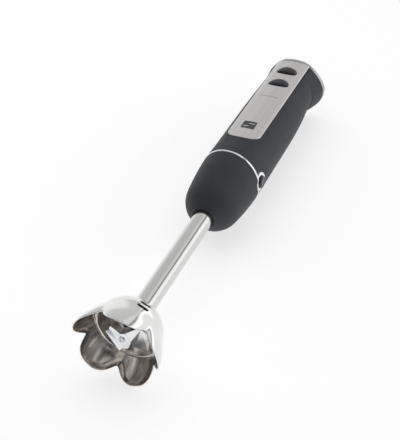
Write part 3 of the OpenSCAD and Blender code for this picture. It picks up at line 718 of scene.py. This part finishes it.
def vent_cutter(turn):
    """Bar with round ends that points out through the dome, turned about the drive axis."""
    tip = Matrix.Rotation(math.pi / 2 - math.radians(VENT_TILT), 3, "Y")
    rings = []
    for z in (15, 45):
        ring = []
        for t in full_turn(48):
            u = VENT_RADIUS * math.cos(t)
            v = VENT_RADIUS * math.sin(t) + math.copysign(VENT_HALF, math.sin(t))
            p = Matrix.Rotation(turn, 3, "X") @ (tip @ Vector((u, v, z)))
            ring.append((p.x + DOME_X, p.y, p.z))
        rings.append(ring)
    return rings_object("slot", rings)


def build_bell():
    bell = rings_object("bell_guard_skin", bell_rings(), closed=True)
    combine(bell, [vent_cutter(math.radians(VENT_TURN) + i * math.pi) for i in range(2)], "DIFFERENCE")
    finish_piece(bell, "blending_arm", ["bell_guard"], "polished_steel", 45, "dome_steel")
    # the inner wall and the slots' edges are left satin, with reflection streaks painted into its colour
    bell.data.materials.append(material("bell_satin_sheen_streaks"))
    for face in bell.data.polygons:
        reach = face.center - at(DOME_X, 0, 0)
        facing = face.normal.dot(reach) / reach.length
        slot_edge = facing < 0.6 and face.center.x > at(21, 0, 0).x
        face.material_index = 1 if facing < -0.02 or slot_edge else 0


def build_guard_ring():
    """Bright bead round the inside of the dome."""
    bead, seat = 0.6, 26.65
    profile = []
    for t in steps(math.radians(45), math.radians(315), 20):
        r = DOME_RADIUS - BELL_SHEET - 0.75 - bead * math.cos(math.pi - t)
        profile.append((SKIRT_X + bead * math.sin(t), r))
    profile += [(SKIRT_X - 0.4, seat), (SKIRT_X + 0.4, seat)]
    ring = turned("guard_ring_bead", profile, 200)
    finish_piece(ring, "blending_arm", ["guard_ring"], "polished_steel", 50, "dome_steel")


# ------------------------------------------------------------------ nodes refined from their CAD shape
def refine(node, width):
    """A copy of a CAD node with its flat faces merged and its edges rounded."""
    source = frame["nodes"][node]
    obj = bpy.data.objects.new(node + "_piece", source.data.copy())
    scene.collection.objects.link(obj)
    bm = bmesh.new()
    bm.from_mesh(obj.data)
    bmesh.ops.remove_doubles(bm, verts=bm.verts, dist=2e-6)
    bmesh.ops.dissolve_limit(bm, angle_limit=math.radians(0.5), verts=bm.verts, edges=bm.edges)
    bmesh.ops.recalc_face_normals(bm, faces=bm.faces)
    bm.to_mesh(obj.data)
    bm.free()
    bevel(obj, width, 40)
    finish_piece(obj, node_body[node], [node], node_slot[node], 40)


node_slot = {part["node"]: part["material_slot"] for part in frame["record"]["subparts"]}
node_body = {node: body for body, nodes in frame["record"]["behaviour"]["bodies"].items() for node in nodes}

build_casing()
build_plate()
build_decoration()
build_buttons()
build_trim()
build_release_buttons()
build_end()
build_nose()
build_tube()
build_bell()
build_guard_ring()
# width of the rounded edges in mm, and the nodes that get them
for width, names in (
    (0.12, ("latch_hook_left", "latch_hook_right")),
    (0.15, ("drive_shaft",)),
    (0.2, ("coupling_seal", "charging_socket", "tube_clamp")),
    (0.22, ("blade",)),
    (0.25, ("blade_collar", "driven_coupling", "arm_collar", "arm_socket", "drive_coupling")),
    (0.3, ("bearing_housing",)),
):
    for name in names:
        refine(name, width)

# every CAD node that stays takes its slot's material
for name, node in frame["nodes"].items():
    slot = node_slot.get(name, "inner_plastic")
    node.data.materials.clear()
    node.data.materials.append(material(slot))
    if not node.hide_render:
        node.data.shade_smooth()
        node.data.set_sharp_from_angle(angle=math.radians(30))


# ------------------------------------------------------------------ floor, light and camera
def build_floor():
    """Plain pale floor, far wider than any view of the part."""
    mesh = bpy.data.meshes.new("floor")
    mesh.from_pydata([(-40, -40, 0), (40, -40, 0), (40, 40, 0), (-40, 40, 0)], [], [(0, 1, 2, 3)])
    floor = bpy.data.objects.new("floor", mesh)
    scene.collection.objects.link(floor)
    mat = bpy.data.materials.new("floor")
    mat.use_nodes = True
    shader = mat.node_tree.nodes["Principled BSDF"]
    shader.inputs["Base Color"].default_value = (0.6, 0.6, 0.6, 1)
    shader.inputs["Roughness"].default_value = 0.9
    shader.inputs["Specular IOR Level"].default_value = 0.1
    shader.inputs["Emission Color"].default_value = (1, 1, 1, 1)
    shader.inputs["Emission Strength"].default_value = 0.62
    floor.data.materials.append(mat)


def build_light():
    """One large soft light overhead, which polished steel doesn't mirror."""
    light = bpy.data.lights.new("key", "AREA")
    light.shape = "RECTANGLE"
    light.size, light.size_y = 1.5, 1.5
    light.energy = 3.4
    key = bpy.data.objects.new("key", light)
    scene.collection.objects.link(key)
    key.location = place = Vector((-0.1, 0.35, 1.4))
    key.rotation_mode = "QUATERNION"
    key.rotation_quaternion = (Vector((-0.1, 0, 0.03)) - place).to_track_quat("-Z", "Y")
    key.visible_glossy = False


def build_world():
    """Surroundings by direction: a turn about the drive axis from +Y over the top to -Y, darker behind."""
    world = bpy.data.worlds.new("studio")
    scene.world = world
    world.use_nodes = True
    nodes, links = world.node_tree.nodes, world.node_tree.links
    background = nodes["Background"]
    coords = nodes.new("ShaderNodeTexCoord")
    split = nodes.new("ShaderNodeSeparateXYZ")
    links.new(coords.outputs["Generated"], split.inputs["Vector"])

    def math_node(operation, *values):
        made = nodes.new("ShaderNodeMath")
        made.operation = operation
        for socket, value in zip(made.inputs, values):
            if isinstance(value, (int, float)):
                socket.default_value = value
            else:
                links.new(value, socket)
        return made.outputs["Value"]

    turn = math_node("ARCTAN2", split.outputs["Z"], split.outputs["Y"])
    turn = math_node("DIVIDE", math_node("MAXIMUM", turn, 0.0), math.pi)
    low = math_node("LESS_THAN", split.outputs["Z"], 0.0)
    far = math_node("LESS_THAN", split.outputs["Y"], 0.0)
    turn = math_node("MAXIMUM", turn, math_node("MULTIPLY", low, far))
    ramp = nodes.new("ShaderNodeValToRGB")
    links.new(turn, ramp.inputs["Fac"])
    ramp.color_ramp.interpolation = "EASE"
    # share of the turn, grey
    stops = (
        (0.0, 1.05), (0.08, 0.86), (0.16, 0.7), (0.38, 0.67), (0.5, 0.64), (0.57, 0.75), (0.64, 0.85),
        (0.69, 0.78), (0.74, 0.32), (0.775, 0.4), (0.82, 1.15), (0.88, 1.3), (1.0, 1.3),
    )
    for place, grey in stops[:-1]:
        stop = ramp.color_ramp.elements.new(place) if place else ramp.color_ramp.elements[0]
        stop.color = (grey, grey, grey, 1)
    last = ramp.color_ramp.elements[-1]
    last.position, last.color = stops[-1][0], (stops[-1][1],) * 3 + (1,)
    behind = nodes.new("ShaderNodeMapRange")
    behind.interpolation_type = "SMOOTHSTEP"
    behind.inputs["From Min"].default_value = -0.35
    behind.inputs["From Max"].default_value = 0.25
    behind.inputs["To Min"].default_value = 0.32
    behind.inputs["To Max"].default_value = 1.0
    links.new(split.outputs["X"], behind.inputs["Value"])
    links.new(ramp.outputs["Color"], background.inputs["Color"])
    links.new(behind.outputs["Result"], background.inputs["Strength"])


def build_camera():
    """Camera at the picture's angle, from its place and its right, up and back directions."""
    camera = bpy.data.objects.new("camera", bpy.data.cameras.new("camera"))
    scene.collection.objects.link(camera)
    right, up, back = (
        Vector((0.41657, -0.90533, -0.08275)),
        Vector((0.61526, 0.21375, 0.75879)),
        Vector((-0.66927, -0.36700, 0.64605)),
    )
    turn = Matrix((right, up, back)).transposed().to_4x4()
    camera.matrix_world = Matrix.Translation(at(-469.32, -337.07, 599.21)) @ turn
    camera.data.sensor_width = 36
    camera.data.lens = 92.78
    camera.data.shift_x = 1.24 / 440
    camera.data.shift_y = -0.84 / 440
    camera.data.clip_start, camera.data.clip_end = 0.01, 100
    scene.camera = camera


build_floor()
build_world()
build_light()
build_camera()
scene.view_settings.view_transform = "Standard"
